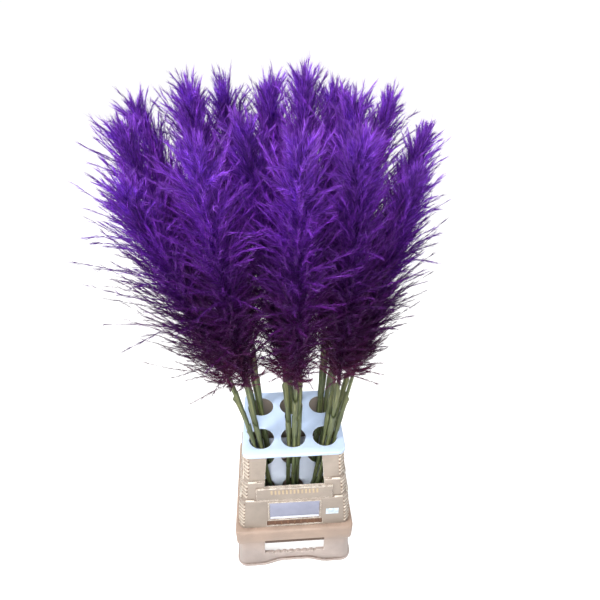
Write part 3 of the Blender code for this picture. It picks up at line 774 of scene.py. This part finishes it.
def plume_points(plume, heights):
    """Where a plume's middle line passes at these heights."""
    _, hole, seat, tip, _ = plume
    column, row, lean = HOLES[hole]
    lean = np.array(lean)
    between_plates = (PLATE_TOP + LOWER_PLATE_FLOOR) / 2
    bundle = np.array([column * HOLE_PITCH[0], row * HOLE_PITCH[1] / 2])
    at_plate = bundle + np.array(seat) + lean * (PLATE_TOP - between_plates)
    rise = tip[2] - PLATE_TOP
    bow = (np.array(tip[:2]) - at_plate) / rise - lean
    above = np.asarray(heights) - PLATE_TOP
    share = np.clip(above / rise, 0, None)
    across = at_plate + np.outer(above, lean) + np.outer(rise * share ** BOW_POWER, bow)
    return np.column_stack([across, heights]) + np.array(CENTRE)


def stem_foot(plume):
    """The height of a stem's cut end, whose lowest edge just clears the tub's floor."""
    lean = HOLES[plume[1]][2]
    return TUB_FLOOR_TOP + FOOT_CLEARANCE + plume[4] * math.sin(math.atan(math.hypot(*lean)))


def stem_radius(plume, height):
    """A stem's radius at a height. It tapers evenly from its foot to its head."""
    share = (height - stem_foot(plume)) / (HEAD_FOOT - stem_foot(plume))
    return plume[4] * (1 + (STEM_TAPER - 1) * share)


def stem_rings(plume, chance):
    """The heights at which a stem is drawn out, with how swollen it is at each."""
    foot = stem_foot(plume)
    rings = {round(float(h), 4): 1.0 for h in np.arange(foot, HEAD_FOOT, STEM_STEP)}
    rings[HEAD_FOOT] = 1.0
    joint = foot + chance.uniform(LOWEST_JOINT, JOINT_STEP[0])
    while joint < HEAD_FOOT - 2 * JOINT_HALF:
        for offset, swell in JOINT_RINGS:
            rings[round(joint + offset, 4)] = swell
        joint += chance.uniform(*JOINT_STEP)
    return sorted(rings.items())


def straighten(obj, plume):
    """Keeps each point's place about the stem's middle line, for the grain that runs along it."""
    points = np.array([vert.co[:] for vert in obj.data.vertices])
    middle = plume_points(plume, points[:, 2])
    grain = np.column_stack([points[:, :2] - middle[:, :2], points[:, 2]])
    stored = obj.data.attributes.new("grain", "FLOAT_VECTOR", "POINT")
    stored.data.foreach_set("vector", grain.astype(np.float32).ravel())


def draw_tube(name, points, girths, sides, fill):
    """A tube drawn out ring by ring along these points, with these radii."""
    bpy.ops.object.select_all(action="DESELECT")
    bpy.ops.mesh.primitive_circle_add(
        vertices=sides, radius=girths[0], fill_type=fill, location=points[0],
    )
    tube = bpy.context.object
    tube.name = tube.data.name = name
    bpy.ops.object.mode_set(mode="EDIT")
    for before, point, girth, wanted in zip(points, points[1:], girths, girths[1:]):
        bpy.ops.mesh.extrude_region_move(TRANSFORM_OT_translate={"value": tuple(point - before)})
        scale = wanted / girth
        bpy.ops.transform.resize(value=(scale, scale, 1.0), center_override=tuple(point))
    bpy.ops.mesh.select_all(action="SELECT")
    bpy.ops.mesh.normals_make_consistent(inside=False)
    bpy.ops.object.mode_set(mode="OBJECT")
    bpy.ops.object.transform_apply(location=True, rotation=True, scale=True)
    return tube


def make_stem(plume, chance):
    """One stalk, from its cut end over the tub's floor to the foot of its head."""
    rings = stem_rings(plume, chance)
    points = plume_points(plume, [height for height, _ in rings])
    girths = [stem_radius(plume, height) * swell for height, swell in rings]
    stem = draw_tube(f"stalk_{plume[0]}", points, girths, STEM_SIDES, "NGON")
    bpy.ops.object.shade_smooth_by_angle(angle=math.radians(50))
    straighten(stem, plume)
    return stem


def colour_ramp(tree, value, stops):
    """The colour that goes with a value. Each stop is a place and the colour there."""
    ramp = place_node(tree, "ShaderNodeValToRGB", {"Fac": value})
    for end, (place, colour) in zip(ramp.color_ramp.elements, (stops[0], stops[-1])):
        end.position = place
        end.color = paint(*colour)
    for place, colour in stops[1:-1]:
        ramp.color_ramp.elements.new(place).color = paint(*colour)
    return ramp.outputs["Color"]


def drawn_noise(tree, grain, scale, detail):
    """Noise that is drawn out along the stem."""
    drawn = place_node(tree, "ShaderNodeMapping", {"Vector": grain.outputs["Vector"], "Scale": scale})
    return place_node(tree, "ShaderNodeTexNoise", {
        "Vector": drawn.outputs[0], "Scale": 1.0, "Detail": detail,
    }).outputs["Fac"]


def streaked_finish(name, tones, roughness):
    """A plant skin with fibres that run along the stem, and patches of yellower tone."""
    made, tree, shader = new_finish(name, roughness)
    grain = place_node(tree, "ShaderNodeAttribute", attribute_name="grain")
    fibres = drawn_noise(tree, grain, *FIBRES)
    skin = colour_ramp(tree, fibres, list(zip(FIBRE_STOPS, tones)))
    tone = colour_ramp(tree, drawn_noise(tree, grain, *PATCHES), PATCH_STOPS)
    colour = blend(tree, YELLOWING, skin, tone, "MULTIPLY")
    bump = place_node(tree, "ShaderNodeBump", {"Height": fibres, "Strength": 0.5, "Distance": 0.0006})
    tree.links.new(colour, shader.inputs["Base Color"])
    tree.links.new(bump.outputs[0], shader.inputs["Normal"])
    return made


skin = streaked_finish("stalk_skin", SKIN_TONES, roughness=0.5)
stem_chance = random.Random(STEM_SEED)
for plume in PLUMES:
    stalk = make_stem(plume, stem_chance)
    stalk.data.materials.append(skin)
    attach(stalk, "root")
    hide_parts(f"stem_{plume[0]}")

# Sheaths: the dry leaf bases that wrap the stems over the top plate, split from their blades when the
# plumes were trimmed. Each is a thin straw-green sleeve with a slanted, slightly flared upper edge.

SHEATH_SIDES = 12
SHEATH_RINGS = 7
SHEATH_THICK = 0.0004
SHEATH_STARTS = ((0.508, 0.540), (0.610, 0.660))
SHEATH_LENGTH = (0.070, 0.120)
SHEATH_LOOSE = (0.0010, 0.0026)
SHEATH_SLANT = 0.020
SHEATH_CLEAR = 0.0006
SHEATH_OPENING = 0.6
SHEATH_RIPPLE = 0.05
STRAW_TONES = ((54, 66, 40), (90, 102, 70), (142, 148, 116))
SHEATH_SEED = 47


def make_sheath(plume, number, low, length, loose, chance):
    """One sleeve round a stem, looser towards its slanted and rippled upper edge."""
    heights = np.linspace(low, low + length, SHEATH_RINGS)
    points = plume_points(plume, heights)
    girths = []
    for step, height in enumerate(heights):
        opened = loose * (step / (SHEATH_RINGS - 1)) ** SHEATH_OPENING
        girths.append(stem_radius(plume, height) + SHEATH_CLEAR + opened)
    sheath = draw_tube(f"sheath_{plume[0]}_{number}", points, girths, SHEATH_SIDES, "NOTHING")
    face = chance.uniform(0, 2 * math.pi)
    for vert in sheath.data.vertices:
        share = (vert.co.z - low) / length
        middle = plume_points(plume, [vert.co.z])[0]
        angle = math.atan2(vert.co.y - middle[1], vert.co.x - middle[0]) - face
        vert.co.z += SHEATH_SLANT * share ** 3 * math.cos(angle)
        ripple = 1 + SHEATH_RIPPLE * math.sin(3 * angle + 9 * share)
        vert.co.x = middle[0] + (vert.co.x - middle[0]) * ripple
        vert.co.y = middle[1] + (vert.co.y - middle[1]) * ripple
    shell = sheath.modifiers.new("shell", "SOLIDIFY")
    shell.thickness = SHEATH_THICK
    shell.offset = 1.0
    bpy.ops.object.modifier_apply(modifier=shell.name)
    bpy.ops.object.shade_smooth_by_angle(angle=math.radians(50))
    straighten(sheath, plume)
    return sheath


straw = streaked_finish("sheath_straw", STRAW_TONES, roughness=0.55)
sheath_chance = random.Random(SHEATH_SEED)
for plume in PLUMES:
    for number, starts in enumerate(SHEATH_STARTS):
        length = sheath_chance.uniform(*SHEATH_LENGTH)
        low = sheath_chance.uniform(*starts)
        loose = sheath_chance.uniform(*SHEATH_LOOSE)
        sheath = make_sheath(plume, number, low, length, loose, sheath_chance)
        finish_piece(sheath, straw)

# Heads: the dyed flower plumes. Each has a thin spine with branchlets all round it that arch outwards,
# near level at the foot and steep at the tip, and every branchlet is furred with silky hairs.

HEAD_POINTS = 60
HEAD_SEED = 500
BRANCHLETS = 450
TOP_BRANCHLET = 0.93
CROWDING = 0.85
GOLDEN_ANGLE = math.radians(137.508)
TURN_SWAY = 0.25
BRANCHLET_SPREAD = (math.radians(54), math.radians(13))
SPREAD_POWER = 0.75
SPREAD_SWAY = math.radians(8)
BRANCHLET_LENGTH = 0.160
LENGTH_SWAY = (0.58, 1.20)
FULLNESS = (0.30, 0.70)
FULLEST = (0.06, 0.62)
TIP_NARROWING = (0.88, 4)
FULLER = {
    "left_outer": 1.45, "left_low": 1.50, "rear_left_outer": 1.15, "centre_front": 0.95,
    "right_low": 0.82, "right_outer": 0.82, "right_front": 0.92, "rear_right": 0.9,
    "rear_right_outer": 1.05, "right_inner": 1.1,
}
NOD = (-0.10, 0.24)
NOD_OUT = 0.8
NOD_DOWN = 0.55
FOOT_LIFT = 0.30
ARCH_SWAY = 0.10
ROOM_BEYOND = (0.012, 0.013, 0.034)
RIGHT_TRIM = 0.040
LEAST_KEPT = 0.3
FAR = 9.0
SPINE_SIDES = 6
SPINE_TIP_RADIUS = 0.0006
SPINE_TAPER = 0.7
SPINE_SHADE = 0.3
TWIG_SIDES = 3
TWIG_RINGS = 4
TWIG_RADIUS = 0.0006
TWIG_TAPER = 0.85
TWIG_SHADE = 0.35
HAIRS = 88
HAIR_START = 0.03
HAIR_LENGTH = (0.028, 0.015)
HAIR_LENGTH_SWAY = (0.7, 1.25)
HAIR_WIDTH = 0.0013
HAIR_WIDTH_SWAY = (0.7, 1.3)
HAIR_THINNING = 0.35
HAIR_SPLAY = (math.radians(22), math.radians(11))
HAIR_SPLAY_SWAY = 0.07
LOOSE_SHARE = 0.12
LOOSE_SPLAY = math.radians(34)
HAIR_REACH = 0.88
HAIR_CURL = 0.16
HAIR_DROOP = 0.05
HAIR_SHADES = (0.45, 1.50)
TUFT_SHADES = (0.62, 1.32)
# Dye from a head's foot to its tip; its dark foot and bright tip are also painted shade and painted light
DYE_AND_SHADE_STOPS = (
    (0.0, (96, 34, 66)), (0.12, (66, 14, 54)), (0.40, (80, 19, 100)), (0.70, (120, 47, 180)),
    (1.0, (152, 86, 220)),
)
# The pale tone at some hairs' ends: a painted highlight of light shining through them
PALE_TIP_HIGHLIGHT = paint(190, 165, 220)
PALE_TIP_FROM = 0.90
PALE_TIP_SHARE = 0.55


def unit(vectors):
    """The same directions, each one unit long."""
    return vectors / np.maximum(np.linalg.norm(vectors, axis=-1, keepdims=True), 1e-9)


def across_axes(along):
    """Two directions square to each of these."""
    helper = np.tile([0.0, 1.0, 0.0], (len(along), 1))
    first = unit(np.cross(along, helper))
    return first, np.cross(along, first)


def grow_branchlets(line, fuller, chance):
    """Start, first direction, arch, length and share of the head's height of every branchlet."""
    count = np.arange(BRANCHLETS)
    share = TOP_BRANCHLET * ((count + chance.uniform(0, 1, BRANCHLETS)) / BRANCHLETS) ** CROWDING
    place = share * (len(line) - 1)
    low = np.minimum(place.astype(int), len(line) - 2)
    start = line[low] + (line[low + 1] - line[low]) * (place - low)[:, None]
    along = unit(line[low + 1] - line[low])
    first, second = across_axes(along)
    turn = count * GOLDEN_ANGLE + chance.normal(0, TURN_SWAY, BRANCHLETS)
    outward = first * np.cos(turn)[:, None] + second * np.sin(turn)[:, None]
    spread = between(BRANCHLET_SPREAD, share ** SPREAD_POWER)
    spread = spread + chance.normal(0, SPREAD_SWAY, BRANCHLETS)
    towards = along * np.cos(spread)[:, None] + outward * np.sin(spread)[:, None]
    fullness = FULLNESS[0] + FULLNESS[1] * np.sin(np.pi * (FULLEST[0] + FULLEST[1] * share))
    fullness = fullness * (1 - TIP_NARROWING[0] * share ** TIP_NARROWING[1])
    fullness = fullness * np.where(fuller > 1, 1 + (fuller - 1) * (1 - share), fuller)
    length = BRANCHLET_LENGTH * fullness * chance.uniform(*LENGTH_SWAY, BRANCHLETS)
    nod = chance.uniform(*NOD, BRANCHLETS)[:, None]
    sideways = chance.normal(0, ARCH_SWAY, (BRANCHLETS, 3))
    level = outward * np.array([1.0, 1.0, 0.0])
    lift = np.array([0.0, 0.0, 1.0]) * (FOOT_LIFT * (1 - share) ** 2)[:, None]
    arch = level * nod * NOD_OUT - np.array([0.0, 0.0, NOD_DOWN]) * nod + lift + sideways
    return start, towards, arch, length, share


def keep_in_room(start, towards, arch, length):
    """Shortens the branchlets that would stand out of the plant further than they may.

    The right-hand side is trimmed in further than the others.
    """
    low = np.array(cad_box[0]) - np.array(ROOM_BEYOND)
    high = np.array(cad_box[1]) + np.array(ROOM_BEYOND) - np.array([RIGHT_TRIM, 0.0, 0.0])
    reach = (towards + arch) * length[:, None]
    with np.errstate(divide="ignore", invalid="ignore"):
        room = np.where(reach > 0, (high - start) / reach, (low - start) / reach)
    room = np.where(np.abs(reach) < 1e-6, FAR, room)
    return length * np.clip(room.min(axis=1), LEAST_KEPT, 1.0)


def tube_points(middle, girth, first, second, sides):
    """Points all round a middle line, ring by ring."""
    ring = []
    for corner in range(sides):
        turn = corner * 2 * math.pi / sides
        ring.append(middle + girth * (first * math.cos(turn) + second * math.sin(turn)))
    return np.stack(ring, axis=1).reshape(-1, 3)


def tube_faces(rings, sides, base=0):
    """The triangles between those rings."""
    faces = []
    for row in range(base, base + (rings - 1) * sides, sides):
        for corner in range(sides):
            here, beside = row + corner, row + (corner + 1) % sides
            faces += [(here, beside, beside + sides), (here, beside + sides, here + sides)]
    return faces


def spine_tube(plume, line):
    """The head's own spine, a thin tube from the stem to the tip: points, faces and looks."""
    first, second = across_axes(unit(np.gradient(line, axis=0)))
    share = np.linspace(0, 1, len(line))
    foot = stem_radius(plume, HEAD_FOOT)
    girth = between((foot, SPINE_TIP_RADIUS), share ** SPINE_TAPER)[:, None]
    points = tube_points(line, girth, first, second, SPINE_SIDES)
    faces = np.array(tube_faces(len(line), SPINE_SIDES))
    blank = np.zeros(len(points))
    strand = np.column_stack([np.repeat(share, SPINE_SIDES), blank, blank + SPINE_SHADE])
    return points, faces, strand, np.zeros((len(points), 3))


def twig_strips(start, towards, arch, length, share, chance):
    """Tapering twigs along the branchlets: points, faces, looks and each one's luck."""
    steps = np.linspace(0, 1, TWIG_RINGS)
    girth = (TWIG_RADIUS * (1 - TWIG_TAPER * steps))[:, None]
    each = TWIG_RINGS * TWIG_SIDES
    points, faces = [], []
    luck = chance.uniform(0, 1, len(start))
    for index in range(len(start)):
        middle = start[index] + length[index] * (
            np.outer(steps, towards[index]) + np.outer(steps ** 2, arch[index])
        )
        first, second = across_axes(unit(towards[index] + 2 * np.outer(steps, arch[index])))
        points.append(tube_points(middle, girth, first, second, TWIG_SIDES))
        faces += tube_faces(TWIG_RINGS, TWIG_SIDES, index * each)
    along = np.tile(np.repeat(steps, TWIG_SIDES), len(start))
    blank = np.zeros_like(along)
    strand = np.column_stack([np.repeat(share, each), blank, blank + TWIG_SHADE])
    tuft = np.column_stack([along, np.repeat(luck, each), blank])
    return np.concatenate(points), np.array(faces), strand, tuft, luck


def hair_blades(start, towards, arch, length, share, luck, chance):
    """Slim pointed hairs all along the branchlets: points, faces and looks."""
    total = len(start) * HAIRS
    owner = np.repeat(np.arange(len(start)), HAIRS)
    along = chance.uniform(HAIR_START, 1.0, total)
    root = start[owner] + length[owner, None] * (
        along[:, None] * towards[owner] + (along ** 2)[:, None] * arch[owner]
    )
    heading = unit(towards[owner] + 2 * along[:, None] * arch[owner])
    loose = chance.normal(0, 1, (total, 3))
    sideways = unit(loose - (loose * heading).sum(axis=1, keepdims=True) * heading)
    splay = between(HAIR_SPLAY, along) + chance.normal(0, HAIR_SPLAY_SWAY, total)
    stray = chance.uniform(0, 1, total) < LOOSE_SHARE
    splay = splay + LOOSE_SPLAY * stray * chance.uniform(0.3, 1.0, total)
    aim = heading * np.cos(splay)[:, None] + sideways * np.sin(splay)[:, None]
    size = between(HAIR_LENGTH, along) * chance.uniform(*HAIR_LENGTH_SWAY, total)
    flat = unit(np.cross(aim, unit(chance.normal(0, 1, (total, 3)))))
    width = HAIR_WIDTH * chance.uniform(*HAIR_WIDTH_SWAY, total) * (1 - HAIR_THINNING * along)
    half = flat * (width / 2)[:, None]
    droop = np.array([0, 0, 1.0]) * (size * HAIR_DROOP)[:, None]
    curl = heading * (size * HAIR_CURL)[:, None] - droop
    tip = root + aim * (size * HAIR_REACH)[:, None] + curl
    points = np.stack([root - half, root + half, tip], axis=1).reshape(-1, 3)
    faces = np.arange(total * 3).reshape(-1, 3)
    fate = chance.uniform(0, 1, total)
    out = np.tile([0.0, 0.0, 1.0], total)
    strand = np.column_stack([np.repeat(share[owner], 3), out, np.repeat(fate, 3)])
    tuft = np.column_stack([np.repeat(along, 3), np.repeat(luck[owner], 3), np.zeros(total * 3)])
    return points, faces, strand, tuft


def make_head(plume, chance):
    """One head as a single mesh of its spine, its twigs and its hairs.

    Strand holds the share of the head's height, how far out along a hair, and the hair's luck. Tuft
    holds how far along its branchlet it grows, the branchlet's luck and the head's.
    """
    line = plume_points(plume, np.linspace(HEAD_FOOT, plume[3][2], HEAD_POINTS))
    start, towards, arch, length, share = grow_branchlets(line, FULLER.get(plume[0], 1.0), chance)
    length = keep_in_room(start, towards, arch, length)
    *twigs, luck = twig_strips(start, towards, arch, length, share, chance)
    hairs = hair_blades(start, towards, arch, length, share, luck, chance)
    groups = (spine_tube(plume, line), twigs, hairs)
    points, strand, tuft = (np.concatenate([group[index] for group in groups]) for index in (0, 2, 3))
    before = np.cumsum([0] + [len(group[0]) for group in groups[:-1]])
    faces = np.concatenate([group[1] + first for group, first in zip(groups, before)])
    tuft[:, 2] = chance.uniform(0, 1)
    mesh = bpy.data.meshes.new(f"plume_{plume[0]}")
    mesh.vertices.add(len(points))
    mesh.vertices.foreach_set("co", points.astype(np.float32).ravel())
    mesh.loops.add(len(faces) * 3)
    mesh.loops.foreach_set("vertex_index", faces.astype(np.int32).ravel())
    mesh.polygons.add(len(faces))
    mesh.polygons.foreach_set("loop_start", np.arange(0, len(faces) * 3, 3, dtype=np.int32))
    mesh.update(calc_edges=True)
    for name, values in (("strand", strand), ("tuft", tuft)):
        stored = mesh.attributes.new(name, "FLOAT_VECTOR", "POINT")
        stored.data.foreach_set("vector", values.astype(np.float32).ravel())
    head = bpy.data.objects.new(mesh.name, mesh)
    bpy.context.scene.collection.objects.link(head)
    return head


def dyed_and_shaded_finish():
    """Dyed hair: reddish at a head's foot and violet at its tip, darker towards the foot as painted shade and
    lighter towards the tip as painted light from above, and pale at some hairs' ends as a painted highlight
    where light shines through.
    """
    made, tree, shader = new_finish("dyed_hair_shaded", 0.55)
    strand = place_node(tree, "ShaderNodeAttribute", attribute_name="strand")
    tuft = place_node(tree, "ShaderNodeAttribute", attribute_name="tuft")
    hair = place_node(tree, "ShaderNodeSeparateXYZ", {0: strand.outputs["Vector"]})
    clump = place_node(tree, "ShaderNodeSeparateXYZ", {0: tuft.outputs["Vector"]})
    shade = rescale(tree, hair.outputs["Z"], 0.0, 1.0, *HAIR_SHADES)
    clump_shade = rescale(tree, clump.outputs["Y"], 0.0, 1.0, *TUFT_SHADES)
    varied = place_node(tree, "ShaderNodeVectorMath", {
        0: colour_ramp(tree, hair.outputs["X"], DYE_AND_SHADE_STOPS), "Scale": product(tree, shade, clump_shade),
    }, operation="SCALE")
    # Pale towards the ends of some hairs, as a painted highlight
    pale = rescale(tree, hair.outputs["Z"], PALE_TIP_FROM, 1.0, 0.0, PALE_TIP_SHARE)
    towards_tip = product(tree, pale, hair.outputs["Y"])
    tips_lit = blend(tree, towards_tip, varied.outputs[0], PALE_TIP_HIGHLIGHT)
    tree.links.new(tips_lit, shader.inputs["Base Color"])
    shader.inputs["Specular IOR Level"].default_value = 0.18
    shader.inputs["Sheen Weight"].default_value = 0.06
    shader.inputs["Sheen Roughness"].default_value = 0.4
    shader.inputs["Sheen Tint"].default_value = (0.62, 0.36, 1.0, 1.0)
    return made


dye_and_shade = dyed_and_shaded_finish()
for number, plume in enumerate(PLUMES):
    head = make_head(plume, np.random.default_rng(HEAD_SEED + number))
    head.data.materials.append(dye_and_shade)
    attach(head, "root")
    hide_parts(f"head_{plume[0]}")
